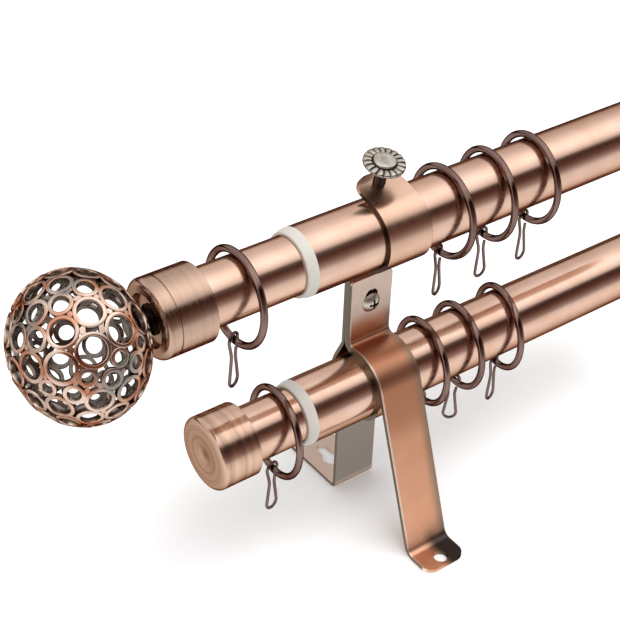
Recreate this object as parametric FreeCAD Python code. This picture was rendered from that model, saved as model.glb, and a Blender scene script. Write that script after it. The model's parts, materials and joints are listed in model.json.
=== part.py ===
import FreeCAD, Part
import itertools
import math
import os

# Double curtain pole: two telescopic copper tubes, one above the other, on a bracket bent
# from flat steel strip. The upper pole ends in an openwork cage ball, the lower one in a plain
# cap, and eight wire rings with a hook each hang on the tubes.
# Frame: the wall is the plane z = 0 and +Z points away from it, +X runs along the poles from
# the ball end, and +Y is the way up on a real wall. All sizes are millimetres. The pieces are
# drawn with both poles over y = 0 and the middle of the bracket at x = 0, and are moved last of
# all, so that the origin is the centre of the keyhole's round end, where the bracket hangs.

# Tubes
OUTER_R = 14.0
OUTER_WALL = 1.0
INNER_WALL = 0.8
COLLAR_WALL = 0.95
CRADLE_GAP = 0.05
INNER_R = OUTER_R - OUTER_WALL - COLLAR_WALL - CRADLE_GAP
UPPER_AXIS_Z = 141.0
LOWER_AXIS_Z = 66.2
UPPER_TUBE_LEFT = -42.8
LOWER_TUBE_LEFT = -40.0
TUBE_RIGHT = 165.0
UPPER_INNER_SHOWN = 40.8
LOWER_INNER_SHOWN = 24.3
INNER_HIDDEN = 110.0

# Collars, the cup and the cap
COLLAR_NOSE = 4.5
COLLAR_DEPTH = 14.0
COLLAR_ROUND = 1.2
COLLAR_SLOPE = 0.9
CUP_WALL = 3.65
CUP_R = INNER_R + CUP_WALL
CUP_LENGTH = 21.0
CAP_LENGTH = 17.6
CUP_FLOOR = 4.0
CUP_RIM_ROUND = 2.6
CUP_MOUTH_ROUND = 0.25
CUP_GROOVE_FROM_END = 5.2
CUP_GROOVE_WIDTH = 0.8
CUP_GROOVE_DEPTH = 0.35
CUP_RECESS_R = 10.5
CUP_RECESS_DEPTH = 2.0
CAP_ROUND = 2.2
CAP_DISH_DEPTH = 0.5
CAP_DISH_R = 5.0

# Cage ball on its neck
BALL_R = 28.3
BALL_HALF_LENGTH = 24.8
BALL_WALL = 2.0
BALL_BAND = 1.15
BALL_RINGS = 92
BALL_RING_SIZES = (6.3, 3.3, 3.8, 5.3, 4.8, 4.4, 5.8)
BALL_PLATE_R = 7.4
BALL_NOSE_RING_R = 5.6
BALL_POLE_MARGIN = 0.07
BALL_RELAX_STEPS = 220
BALL_PUSH = 0.35
BALL_CORNER_INSET = 1.1
BALL_LEAST_GAP = 0.3
BALL_HOLE_SIDES = 16
BALL_NEAR_COSINE = 0.5
NECK_R = 6.0
NECK_WAIST_R = 5.0
NECK_BALL_GAP = 0.05
NECK_LENGTH = 5.0
FINIAL_SCREW_R = 2.4
FINIAL_HEAD_R = 4.2
FINIAL_HEAD_HEIGHT = 2.4
FINIAL_SCREW_BITE = 2.5

# Bracket strips
STRIP_WIDTH = 21.0
STRIP_THICK = 1.6
LAYER_GAP = 0.05
PLATE_FRONT_Y = 10.4
PLATE_LENGTH = 36.0
PLATE_BEND_R = 1.9
PLATE_CORNER_R = 3.0
ARM_UPRIGHT_Y = 8.55
UNDER_BEND_R = 3.0
OVER_BEND_R = 5.1
FLARE_LEAVES_AT = 103.6
FLARE_LENGTH = 11.2
FLARE_CURL_R = 9.0
FLARE_CURL_TURN = 26.0
FLARE_CORNER_R = 7.5
BRACE_LEAVES_AT = 160.7
BRACE_FOOT_BEND_R = 5.0
BRACE_FOOT_END_Y = -54.5
FOOT_HOLE_Y = -49.9
FOOT_HOLE_R = 3.0
FOOT_CORNER_R = 5.0
RETAINER_GAP = 1.4
RETAINER_LEAVES_AT = 25.6
RETAINER_ENDS_AT = -24.0
RETAINER_BEND_R = 4.0
STRIP_END_R = 2.0
KEYHOLE_ROUND_Y = 26.5
KEYHOLE_ROUND_R = 4.5
KEYHOLE_SLOT_LENGTH = 7.5
KEYHOLE_SLOT_R = 2.5

# Screw through the joint
JOINT_SCREW_Z = 101.3
JOINT_TO_TOP = 13.3
BRACE_TOP_Z = JOINT_SCREW_Z + JOINT_TO_TOP
JOINT_SCREW_R = 2.0
JOINT_HEAD_R = 4.4
JOINT_HEAD_HEIGHT = 2.4
JOINT_HOLE_GAP = 0.15
JOINT_SLOT_R = 3.2
JOINT_SLOT_LENGTH = 9.9
JOINT_SLOT_RISE = 1.75
JOINT_NUT_FLATS = 7.0
HEX_SIDES = 6
JOINT_NUT_HEIGHT = 3.2
JOINT_SCREW_PAST_NUT = 1.0
CROSS_ARM = 4.4
CROSS_WIDTH = 0.9
CROSS_DEPTH = 1.2

# Thumbscrew
THUMB_DISC_R = 8.55
THUMB_PETALS = 18
THUMB_PETAL_DEPTH = 0.35
THUMB_FLUTE_R = 0.7
THUMB_FLUTE_NARROW_R = 0.25
THUMB_DISC_THICK = 2.2
THUMB_BOSS_R = 4.6
THUMB_BOSS_HEIGHT = 0.6
THUMB_SHANK_R = 2.5
THUMB_SHANK_GAP = 0.08
THUMB_REACH = 9.6
THUMB_TIP_GAP = 0.3
THUMB_ALONG_FLARE = 10.05

# Rings and their hooks
RING_WIRE_R = 1.5
RING_PLAY = 3.3
RING_OUTSIDE_R = OUTER_R + RING_PLAY + 2 * RING_WIRE_R
HANG_GAP = 0.3
UPPER_RINGS_X = (29.4, 53.3, 76.7)
LOWER_RINGS_X = (25.9, 46.0, 70.3)
UPPER_INNER_RING_X = -71.0
LOWER_INNER_RING_X = -51.6
RING_YAWS = (-1.0, -2.0, -6.5, -5.0, -5.0, -7.0, -8.0, -12.0)
RING_TILTS = (3.0, 1.0, 1.0, 0.0, 4.0, 1.0, 1.0, 0.0)
HOOK_WIRE_R = 0.65
HOOK_EYE_INSIDE_R = 2.3
HOOK_LENGTH = 22.3
HOOK_BULB_R = 2.9
HOOK_NECK_HALF = 1.3
HOOK_NECK_DROP = 8.0
HOOK_NECK_BEND_R = 11.5
HOOK_EYE_STARTS_AT = -50.0
HOOK_TIP_OUT = 1.9
HOOK_TIP_DROP = 5.0
HOOK_LEANS = (0.0, 4.0, 4.0, 4.0, 0.0, 0.0, 0.0, 0.0)
HOOK_YAWS = (24.0, 22.0, 5.0, 12.0, 12.0, -20.0, -36.0, 16.0)

# Worked out once for all pieces
FULL_TURN = 360.0
TINY = 1e-6
UPPER_CUP_RIGHT = UPPER_TUBE_LEFT - COLLAR_NOSE - UPPER_INNER_SHOWN
LOWER_CAP_RIGHT = LOWER_TUBE_LEFT - COLLAR_NOSE - LOWER_INNER_SHOWN
ARM_R = OUTER_R + CRADLE_GAP + STRIP_THICK / 2
LAYER_STEP = STRIP_THICK + LAYER_GAP
X_AXIS = FreeCAD.Vector(1, 0, 0)
Y_AXIS = FreeCAD.Vector(0, 1, 0)
Z_AXIS = FreeCAD.Vector(0, 0, 1)


def vec(x, y, z):
    return FreeCAD.Vector(x, y, z)


def turned_to(angle, radius):
    """Point in the plane at an angle in degrees and a radius from the centre."""
    return (radius * math.cos(math.radians(angle)), radius * math.sin(math.radians(angle)))


def add(p, q):
    return (p[0] + q[0], p[1] + q[1])


def corner_arc(before, corner, after, radius):
    """Start, middle and end of the arc of a radius that rounds a corner."""
    a = (before[0] - corner[0], before[1] - corner[1])
    b = (after[0] - corner[0], after[1] - corner[1])
    length_a = math.hypot(a[0], a[1])
    length_b = math.hypot(b[0], b[1])
    a = (a[0] / length_a, a[1] / length_a)
    b = (b[0] / length_b, b[1] / length_b)
    half = math.acos(max(-1.0, min(1.0, a[0] * b[0] + a[1] * b[1]))) / 2
    back = radius / math.tan(half)
    bisector = (a[0] + b[0], a[1] + b[1])
    size = math.hypot(bisector[0], bisector[1])
    out = radius / math.sin(half)
    centre = (corner[0] + bisector[0] / size * out, corner[1] + bisector[1] / size * out)
    middle = (centre[0] - bisector[0] / size * radius, centre[1] - bisector[1] / size * radius)
    start = (corner[0] + a[0] * back, corner[1] + a[1] * back)
    end = (corner[0] + b[0] * back, corner[1] + b[1] * back)
    return (start, middle, end)


def wrap_arc(centre, radius, start, end):
    """Start, middle and end of an arc about a centre, its angles in degrees."""
    return tuple(add(centre, turned_to(a, radius)) for a in (start, (start + end) / 2, end))


def edges_through(pieces, place):
    """Edges through a list of points and arcs, with straight runs between them."""
    edges = []
    last = None
    for piece in pieces:
        start = piece[0] if len(piece) == 3 else piece
        if last is not None and math.dist(last, start) > TINY:
            edges.append(Part.LineSegment(place(last), place(start)).toShape())
        last = start
        if len(piece) == 3:
            edges.append(Part.Arc(place(piece[0]), place(piece[1]), place(piece[2])).toShape())
            last = piece[2]
    return edges


def rounded(corners):
    """Closed outline of corners (u, v, radius), as points and arcs."""
    pieces = []
    count = len(corners)
    for i, (u, v, radius) in enumerate(corners):
        if radius > 0:
            pieces.append(corner_arc(corners[i - 1][:2], (u, v), corners[(i + 1) % count][:2], radius))
        else:
            pieces.append((u, v))
    first = pieces[0][0] if len(pieces[0]) == 3 else pieces[0]
    pieces.append(first)
    return pieces


def turned(corners, axis_z):
    """Solid of revolution about a pole's axis from a closed profile of (x, r, rounding)."""
    edges = edges_through(rounded(corners), lambda p: vec(p[0], 0, axis_z + p[1]))
    face = Part.Face(Part.Wire(edges))
    return face.revolve(vec(0, 0, axis_z), X_AXIS, FULL_TURN)


def tube(left, right, radius, wall, axis_z):
    outside = Part.makeCylinder(radius, right - left, vec(left, 0, axis_z), X_AXIS)
    return outside.cut(Part.makeCylinder(radius - wall, right - left, vec(left, 0, axis_z), X_AXIS))


def strip(pieces):
    """Flat strip, as wide as the bracket, bent along a middle line in the plane x = 0."""
    edges = edges_through(pieces, lambda p: vec(-STRIP_WIDTH / 2, p[0], p[1]))
    line = Part.Wire(edges)
    start = edges[0].valueAt(edges[0].FirstParameter)
    along = edges[0].tangentAt(edges[0].FirstParameter)
    side = along.cross(X_AXIS) * (STRIP_THICK / 2)
    across = X_AXIS * STRIP_WIDTH
    section = Part.makePolygon([start + side, start + side + across, start - side + across,
                                start - side, start + side])
    return line.makePipeShell([section], True, True)


def end_cutter(tip, along, radius):
    """What rounding a strip's two end corners takes away, for a cut square through the strip.

    tip is the middle of the end and along points out of it, both in the strip's plane.
    """
    normal = along.cross(X_AXIS)
    half = STRIP_WIDTH / 2
    depth = 2 * STRIP_THICK
    cutters = []
    for side in (-1, 1):
        out = X_AXIS * side
        corner = tip + out * half
        centre = corner - out * radius - along * radius
        start = centre + along * radius
        end = centre + out * radius
        middle = centre + (along + out) * (radius / math.sqrt(2))
        edges = [Part.Arc(start, middle, end).toShape(),
                 Part.LineSegment(end, end + out).toShape(),
                 Part.LineSegment(end + out, corner + out + along).toShape(),
                 Part.LineSegment(corner + out + along, start + along).toShape(),
                 Part.LineSegment(start + along, start).toShape()]
        face = Part.Face(Part.Wire(edges))
        face.translate(normal * -depth)
        cutters.append(face.extrude(normal * (2 * depth)))
    return cutters


def slot(centre, along, normal, radius, length, depth):
    """Solid of a slot with round ends, to be cut out, its depth each way from its centre."""
    offset = along * (length / 2 - radius)
    across = normal.cross(along) * radius
    a = centre - offset
    b = centre + offset
    edges = [Part.LineSegment(a + across, b + across).toShape(),
             Part.Arc(b + across, b + along * radius, b - across).toShape(),
             Part.LineSegment(b - across, a - across).toShape(),
             Part.Arc(a - across, a - along * radius, a + across).toShape()]
    face = Part.Face(Part.Wire(edges))
    face.translate(normal * -depth)
    return face.extrude(normal * (2 * depth))


def touching_bend(upright_y, bend_r, wrap_r, axis_z, side):
    """Centre of the bend that leads from an upright to a wrap about a pole, and its angle.

    The bend touches the wrap from outside, below the pole for side -1 and above it for 1.
    """
    y = upright_y - bend_r
    rise = math.sqrt((wrap_r + bend_r) ** 2 - y ** 2)
    centre = (y, axis_z + side * rise)
    return centre, math.degrees(math.atan2(side * rise, y))


def arm_path():
    plate_y = PLATE_FRONT_Y + STRIP_THICK / 2
    plate_z = STRIP_THICK / 2
    plate_end = (PLATE_FRONT_Y + PLATE_LENGTH, plate_z)
    under_low, enter_low = touching_bend(plate_y, UNDER_BEND_R, ARM_R, LOWER_AXIS_Z, -1)
    over_low, leave_low = touching_bend(ARM_UPRIGHT_Y, OVER_BEND_R, ARM_R, LOWER_AXIS_Z, 1)
    under_up, enter_up = touching_bend(ARM_UPRIGHT_Y, UNDER_BEND_R, ARM_R, UPPER_AXIS_Z, -1)
    low = (0, LOWER_AXIS_Z)
    up = (0, UPPER_AXIS_Z)
    leave = add(up, turned_to(FLARE_LEAVES_AT, ARM_R))
    heading = FLARE_LEAVES_AT - 90
    curl_from = add(leave, turned_to(heading, FLARE_LENGTH))
    curl_centre = add(curl_from, turned_to(heading + 90, FLARE_CURL_R))
    return [plate_end,
            corner_arc(plate_end, (plate_y, plate_z), (plate_y, LOWER_AXIS_Z), PLATE_BEND_R),
            wrap_arc(under_low, UNDER_BEND_R, 0, enter_low + 180),
            wrap_arc(low, ARM_R, enter_low, leave_low - FULL_TURN),
            wrap_arc(over_low, OVER_BEND_R, leave_low - 180, 0),
            wrap_arc(under_up, UNDER_BEND_R, 0, enter_up + 180),
            wrap_arc(up, ARM_R, enter_up, FLARE_LEAVES_AT - FULL_TURN),
            wrap_arc(curl_centre, FLARE_CURL_R, heading - 90, heading - 90 + FLARE_CURL_TURN)]


def flare_frame():
    """Middle of the thumbscrew's hole on the flare, and the flare's outward normal."""
    leave = add((0, UPPER_AXIS_Z), turned_to(FLARE_LEAVES_AT, ARM_R))
    heading = FLARE_LEAVES_AT - 90
    y, z = add(leave, turned_to(heading, THUMB_ALONG_FLARE))
    normal = turned_to(heading + 90, 1)
    return vec(0, y, z), vec(0, normal[0], normal[1])


def main_arm():
    arm = strip(arm_path())
    heading = FLARE_LEAVES_AT - 90
    curl = arm_path()[-1]
    tip = vec(0, curl[2][0], curl[2][1])
    tip_along = turned_to(heading + FLARE_CURL_TURN, 1)
    cutters = end_cutter(tip, vec(0, tip_along[0], tip_along[1]), FLARE_CORNER_R)
    plate_tip = vec(0, PLATE_FRONT_Y + PLATE_LENGTH, STRIP_THICK / 2)
    cutters += end_cutter(plate_tip, Y_AXIS, PLATE_CORNER_R)
    keyhole = vec(0, KEYHOLE_ROUND_Y, 0)
    below = keyhole - Z_AXIS * STRIP_THICK
    cutters.append(Part.makeCylinder(KEYHOLE_ROUND_R, 4 * STRIP_THICK, below, Z_AXIS))
    slot_middle = keyhole + Y_AXIS * (KEYHOLE_SLOT_LENGTH / 2)
    cutters.append(slot(slot_middle, Y_AXIS, Z_AXIS, KEYHOLE_SLOT_R,
                        KEYHOLE_SLOT_LENGTH + 2 * KEYHOLE_SLOT_R, 2 * STRIP_THICK))
    joint = vec(0, ARM_UPRIGHT_Y - STRIP_THICK, JOINT_SCREW_Z)
    cutters.append(Part.makeCylinder(JOINT_SCREW_R + JOINT_HOLE_GAP, 2 * STRIP_THICK, joint, Y_AXIS))
    hole, normal = flare_frame()
    cutters.append(Part.makeCylinder(THUMB_SHANK_R + THUMB_SHANK_GAP, 4 * STRIP_THICK,
                                     hole - normal * (2 * STRIP_THICK), normal))
    return arm.cut(cutters)


def brace():
    y = ARM_UPRIGHT_Y - LAYER_STEP
    wrap_r = ARM_R + LAYER_STEP
    over, leave = touching_bend(y, OVER_BEND_R - LAYER_STEP, wrap_r, LOWER_AXIS_Z, 1)
    low = (0, LOWER_AXIS_Z)
    top = (y, BRACE_TOP_Z)
    off = add(low, turned_to(BRACE_LEAVES_AT, wrap_r))
    down = turned_to(BRACE_LEAVES_AT + 90, 1)
    reach = (off[1] - STRIP_THICK / 2) / -down[1]
    toe = (off[0] + down[0] * reach, STRIP_THICK / 2)
    end = (BRACE_FOOT_END_Y, STRIP_THICK / 2)
    path = [top,
            wrap_arc(over, OVER_BEND_R - LAYER_STEP, 0, leave - 180),
            wrap_arc(low, wrap_r, leave, BRACE_LEAVES_AT),
            corner_arc(off, toe, end, BRACE_FOOT_BEND_R),
            end]
    cutters = end_cutter(vec(0, end[0], end[1]), -Y_AXIS, FOOT_CORNER_R)
    cutters += end_cutter(vec(0, y, BRACE_TOP_Z), Z_AXIS, STRIP_END_R)
    below = vec(0, FOOT_HOLE_Y, -STRIP_THICK)
    cutters.append(Part.makeCylinder(FOOT_HOLE_R, 4 * STRIP_THICK, below, Z_AXIS))
    slot_z = JOINT_SCREW_Z + JOINT_SLOT_RISE
    cutters.append(slot(vec(0, y, slot_z), Z_AXIS, Y_AXIS, JOINT_SLOT_R, JOINT_SLOT_LENGTH, STRIP_THICK))
    return strip(path).cut(cutters)


def retaining_strip():
    y = ARM_UPRIGHT_Y + LAYER_STEP
    wrap_r = OUTER_R + RETAINER_GAP + STRIP_THICK / 2
    low = (0, LOWER_AXIS_Z)
    off = add(low, turned_to(RETAINER_LEAVES_AT, wrap_r))
    up = turned_to(RETAINER_LEAVES_AT + 90, 1)
    reach = (y - off[0]) / up[0]
    knee = (y, off[1] + up[1] * reach)
    top = (y, BRACE_TOP_Z)
    path = [top,
            corner_arc(top, knee, off, RETAINER_BEND_R),
            wrap_arc(low, wrap_r, RETAINER_LEAVES_AT, RETAINER_ENDS_AT)]
    end = add(low, turned_to(RETAINER_ENDS_AT, wrap_r))
    along = turned_to(RETAINER_ENDS_AT - 90, 1)
    cutters = end_cutter(vec(0, end[0], end[1]), vec(0, along[0], along[1]), STRIP_END_R)
    cutters += end_cutter(vec(0, y, BRACE_TOP_Z), Z_AXIS, STRIP_END_R)
    hole = vec(0, y - STRIP_THICK, JOINT_SCREW_Z)
    cutters.append(Part.makeCylinder(JOINT_SCREW_R + JOINT_HOLE_GAP, 2 * STRIP_THICK, hole, Y_AXIS))
    return strip(path).cut(cutters)


def joint_faces():
    """The brace's front face and the retaining strip's back face, along Y."""
    reach = LAYER_STEP + STRIP_THICK / 2
    return ARM_UPRIGHT_Y - reach, ARM_UPRIGHT_Y + reach


def cross_recess(face, into):
    """Cross recess in a screw's head, cut from the middle of its face."""
    side = into.cross(X_AXIS)
    cross = []
    for a, b in ((X_AXIS, side), (side, X_AXIS)):
        start = face - a * (CROSS_ARM / 2) - b * (CROSS_WIDTH / 2) - into * CROSS_DEPTH
        base = Part.makePolygon([start, start + a * CROSS_ARM, start + a * CROSS_ARM + b * CROSS_WIDTH,
                                 start + b * CROSS_WIDTH, start])
        cross.append(Part.Face(base).extrude(into * (2 * CROSS_DEPTH)))
    return cross


def joint_screw():
    front, back = joint_faces()
    length = back - front + JOINT_NUT_HEIGHT + JOINT_SCREW_PAST_NUT
    seat = vec(0, front, JOINT_SCREW_Z)
    dome_r = (JOINT_HEAD_R ** 2 + JOINT_HEAD_HEIGHT ** 2) / (2 * JOINT_HEAD_HEIGHT)
    ball = Part.makeSphere(dome_r, seat + Y_AXIS * (dome_r - JOINT_HEAD_HEIGHT))
    head = Part.makeCylinder(JOINT_HEAD_R, JOINT_HEAD_HEIGHT, seat, -Y_AXIS).common(ball)
    shank = Part.makeCylinder(JOINT_SCREW_R, length, seat, Y_AXIS)
    face = seat - Y_AXIS * JOINT_HEAD_HEIGHT
    return head.fuse(shank).cut(cross_recess(face, Y_AXIS)).removeSplitter()


def hexagon(centre, normal, along, flats):
    across = normal.cross(along)
    radius = flats / math.sqrt(3)
    points = []
    for i in range(HEX_SIDES + 1):
        a, b = turned_to(FULL_TURN * i / HEX_SIDES, radius)
        points.append(centre + along * a + across * b)
    return Part.Face(Part.makePolygon(points))


def joint_nut():
    back = joint_faces()[1]
    seat = vec(0, back, JOINT_SCREW_Z)
    nut = hexagon(seat, Y_AXIS, Z_AXIS, JOINT_NUT_FLATS).extrude(Y_AXIS * JOINT_NUT_HEIGHT)
    hole = Part.makeCylinder(JOINT_SCREW_R + LAYER_GAP, JOINT_NUT_HEIGHT, seat, Y_AXIS)
    return nut.cut(hole)


def thumbscrew():
    hole, out = flare_frame()
    base = hole + out * THUMB_REACH
    tip_drop = (hole - vec(0, 0, UPPER_AXIS_Z)).dot(out)
    side_step = (hole - vec(0, 0, UPPER_AXIS_Z)).cross(out).Length
    tube_top = math.sqrt(OUTER_R ** 2 - max(0, side_step - THUMB_SHANK_R) ** 2)
    tip = hole + out * (tube_top + THUMB_TIP_GAP - tip_drop)
    shank = Part.makeCylinder(THUMB_SHANK_R, (base - tip).dot(out), tip, out)
    disc = Part.makeCylinder(THUMB_DISC_R, THUMB_DISC_THICK, base, out)
    boss = Part.makeCylinder(THUMB_BOSS_R, THUMB_BOSS_HEIGHT, base + out * THUMB_DISC_THICK, out)
    pitch = 2 * math.pi * THUMB_DISC_R / THUMB_PETALS
    groove_r = pitch / 4
    top = base + out * THUMB_DISC_THICK
    notches = []
    for i in range(THUMB_PETALS):
        a, b = turned_to(FULL_TURN * i / THUMB_PETALS, 1)
        away = X_AXIS * a + out.cross(X_AXIS) * b
        centre = base + away * (THUMB_DISC_R + groove_r - THUMB_PETAL_DEPTH)
        notches.append(Part.makeCylinder(groove_r, THUMB_DISC_THICK, centre, out))
        notches.append(Part.makeCone(THUMB_FLUTE_NARROW_R, THUMB_FLUTE_R, THUMB_DISC_R - THUMB_BOSS_R,
                                     top + away * THUMB_BOSS_R, away))
    return disc.cut(notches).fuse([shank, boss]).removeSplitter()


def collar(tube_left, axis_z):
    """Nylon bush: a sleeve inside the outer tube and a nose in front of it."""
    bore = INNER_R + CRADLE_GAP
    sleeve = OUTER_R - OUTER_WALL
    nose = tube_left - COLLAR_NOSE
    return turned([(nose, bore, 0), (nose, OUTER_R - COLLAR_SLOPE, COLLAR_ROUND / 2),
                   (tube_left - COLLAR_ROUND, OUTER_R, 0), (tube_left, OUTER_R, 0),
                   (tube_left, sleeve, 0), (tube_left + COLLAR_DEPTH, sleeve, 0),
                   (tube_left + COLLAR_DEPTH, bore, 0)], axis_z)


def finial_cup():
    right = UPPER_CUP_RIGHT
    left = right - CUP_LENGTH
    bore = INNER_R + CRADLE_GAP
    groove = left + CUP_GROOVE_FROM_END
    floor = left + CUP_RECESS_DEPTH + CUP_FLOOR
    cup = turned([(left, CUP_RECESS_R, 0), (left, CUP_R, CUP_RIM_ROUND),
                  (groove, CUP_R, 0), (groove, CUP_R - CUP_GROOVE_DEPTH, 0),
                  (groove + CUP_GROOVE_WIDTH, CUP_R - CUP_GROOVE_DEPTH, 0),
                  (groove + CUP_GROOVE_WIDTH, CUP_R, 0), (right, CUP_R, CUP_MOUTH_ROUND),
                  (right, bore, 0), (floor, bore, 0), (floor, FINIAL_SCREW_R + CRADLE_GAP, 0),
                  (left + CUP_RECESS_DEPTH, FINIAL_SCREW_R + CRADLE_GAP, 0),
                  (left + CUP_RECESS_DEPTH, CUP_RECESS_R, 0)], UPPER_AXIS_Z)
    return cup


def end_cap():
    right = LOWER_CAP_RIGHT
    left = right - CAP_LENGTH
    bore = INNER_R + CRADLE_GAP
    floor = left + CUP_FLOOR
    return turned([(left + CAP_DISH_DEPTH, 0, 0), (left, CAP_DISH_R, 0), (left, CUP_R, CAP_ROUND),
                   (right, CUP_R, CUP_MOUTH_ROUND), (right, bore, 0), (floor, bore, 0),
                   (floor, 0, 0)], LOWER_AXIS_Z)


def ring_sink(radius):
    """How far a flat ring's plane lies below the ball's skin: the rise of a cap as wide as the ring."""
    return radius * radius / (2 * BALL_R)


def ball_plate_x():
    """The outer face of the ball's plate, on which the neck stands."""
    return UPPER_CUP_RIGHT - CUP_LENGTH + CUP_RECESS_DEPTH - NECK_LENGTH - NECK_BALL_GAP


def ball_centre_x():
    return ball_plate_x() - BALL_HALF_LENGTH + ring_sink(BALL_PLATE_R)


def onto_ball(p):
    """The point of the ball's surface in line with a point from its centre."""
    size = math.sqrt((p.x / BALL_HALF_LENGTH) ** 2 + (p.y ** 2 + p.z ** 2) / BALL_R ** 2)
    return p * (1 / size)


def ball_normal(p):
    n = vec(p.x / BALL_HALF_LENGTH ** 2, p.y / BALL_R ** 2, p.z / BALL_R ** 2)
    return n.normalize()


def spread_apart(centres, radii):
    """One step of pushing rings that overlap apart. The first two rings stay where they are."""
    moves = [vec(0, 0, 0) for c in centres]
    for i, j in itertools.combinations(range(len(centres)), 2):
        d = centres[i] - centres[j]
        gap = d.Length - radii[i] - radii[j]
        if gap < 0:
            push = d * (-BALL_PUSH * gap / d.Length)
            moves[i] = moves[i] + push
            moves[j] = moves[j] - push
    return centres[:2] + [onto_ball(c + m) for c, m in zip(centres[2:], moves[2:])]


def ball_rings():
    """Centres and outer radii of the ball's rings, spread until they only just touch."""
    centres = [vec(BALL_HALF_LENGTH, 0, 0), vec(-BALL_HALF_LENGTH, 0, 0)]
    radii = [BALL_PLATE_R, BALL_NOSE_RING_R]
    turn = math.pi * (3 - math.sqrt(5))
    for i in range(BALL_RINGS):
        h = (1 - BALL_POLE_MARGIN) * (1 - 2 * (i + 0.5) / BALL_RINGS)
        across = math.sqrt(1 - h * h)
        centres.append(onto_ball(vec(h, across * math.cos(i * turn), across * math.sin(i * turn))))
        radii.append(BALL_RING_SIZES[i % len(BALL_RING_SIZES)])
    for step in range(BALL_RELAX_STEPS):
        centres = spread_apart(centres, radii)
    return centres, radii


def facet_planes(centres, radii):
    """Each ring's outward normal and its plane's distance from the ball's centre."""
    normals = [ball_normal(c) for c in centres]
    levels = [n.dot(c) - ring_sink(r) for n, c, r in zip(normals, centres, radii)]
    return normals, levels


def facet_corners(normals, levels):
    """Corners of the solid inside all the planes, each with the three planes that meet there."""
    corners = []
    for i in range(len(normals)):
        near = [j for j in range(i + 1, len(normals)) if normals[i].dot(normals[j]) > BALL_NEAR_COSINE]
        for j, k in itertools.combinations(near, 2):
            a, b, c = normals[i], normals[j], normals[k]
            size = a.dot(b.cross(c))
            if abs(size) < TINY:
                continue
            p = (b.cross(c) * levels[i] + c.cross(a) * levels[j] + a.cross(b) * levels[k]) * (1 / size)
            if all(n.dot(p) <= level + TINY for n, level in zip(normals, levels)):
                corners.append((p, (i, j, k)))
    return corners


def facet_solid(normals, levels):
    """Solid with one flat facet for each ring."""
    corners = facet_corners(normals, levels)
    faces = []
    for i, n in enumerate(normals):
        own = [p for p, planes in corners if i in planes]
        middle = sum(own, vec(0, 0, 0)) * (1 / len(own))
        u = (own[0] - middle).normalize()
        v = n.cross(u)
        own.sort(key=lambda p: math.atan2((p - middle).dot(v), (p - middle).dot(u)))
        faces.append(Part.Face(Part.makePolygon(own + own[:1])))
    shell = Part.makeShell(faces)
    shell.sewShape()
    return Part.makeSolid(shell)


def gap_cutter(rings, middle):
    """Three-cornered cutter for the gap between three rings, or None where they leave none."""
    normal = ball_normal(middle)
    sides = []
    for m in range(3):
        (p, r), (q, s) = rings[m], rings[(m + 1) % 3]
        d = q - p
        touch = p + d * ((r + (d.Length - r - s) / 2) / d.Length)
        sides.append(touch - normal * (touch - middle).dot(normal))
    centre = sum(sides, vec(0, 0, 0)) * (1 / 3)
    if min((centre - p).Length for p in sides) <= BALL_CORNER_INSET + BALL_LEAST_GAP:
        return None
    corners = [p + (centre - p).normalize() * BALL_CORNER_INSET for p in sides]
    face = Part.Face(Part.makePolygon(corners + corners[:1]))
    face.translate(normal * (-3 * BALL_WALL))
    return face.extrude(normal * (6 * BALL_WALL))


def ring_cutter(centre, normal, radius):
    """Many-sided cutter for the hole of one ring."""
    u = normal.cross(vec(0.3, 0.5, 0.8)).normalize()
    v = normal.cross(u)
    turns = [2 * math.pi * m / BALL_HOLE_SIDES for m in range(BALL_HOLE_SIDES)]
    points = [centre + u * (radius * math.cos(t)) + v * (radius * math.sin(t)) for t in turns]
    face = Part.Face(Part.makePolygon(points + points[:1]))
    face.translate(normal * (-3 * BALL_WALL))
    return face.extrude(normal * (6 * BALL_WALL))


def finial_ball():
    """Openwork ball: flat rings of several sizes side by side, with three-cornered gaps."""
    centres, radii = ball_rings()
    normals, levels = facet_planes(centres, radii)
    outside = facet_solid(normals, levels)
    inside = facet_solid(normals, [level - BALL_WALL for level in levels])
    cutters = []
    for i, (c, n, r) in enumerate(zip(centres, normals, radii)):
        bore = FINIAL_SCREW_R + CRADLE_GAP if i == 0 else r - BALL_BAND
        cutters.append(ring_cutter(c, n, bore))
    for p, (i, j, k) in facet_corners(normals, levels):
        cutter = gap_cutter([(centres[m], radii[m]) for m in (i, j, k)], p)
        if cutter is not None:
            cutters.append(cutter)
    ball = outside.cut([inside] + cutters)
    ball.translate(vec(ball_centre_x(), 0, UPPER_AXIS_Z))
    return ball


def finial_neck():
    right = UPPER_CUP_RIGHT - CUP_LENGTH + CUP_RECESS_DEPTH
    left = right - NECK_LENGTH
    waist = (NECK_R - NECK_WAIST_R)
    bore = FINIAL_SCREW_R + CRADLE_GAP
    return turned([(left, bore, 0), (left, NECK_R, 0), (left + waist / 2, NECK_R, 0),
                   (left + waist, NECK_WAIST_R, 0), (right - waist, NECK_WAIST_R, 0),
                   (right - waist / 2, NECK_R, 0), (right, NECK_R, 0), (right, bore, 0)], UPPER_AXIS_Z)


def finial_screw():
    seat = ball_plate_x() - BALL_WALL - NECK_BALL_GAP
    right = UPPER_CUP_RIGHT - CUP_LENGTH + CUP_RECESS_DEPTH + CUP_FLOOR + FINIAL_SCREW_BITE
    head = Part.makeCylinder(FINIAL_HEAD_R, FINIAL_HEAD_HEIGHT, vec(seat, 0, UPPER_AXIS_Z), -X_AXIS)
    shank = Part.makeCylinder(FINIAL_SCREW_R, right - seat, vec(seat, 0, UPPER_AXIS_Z), X_AXIS)
    return head.fuse(shank).removeSplitter()


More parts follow.
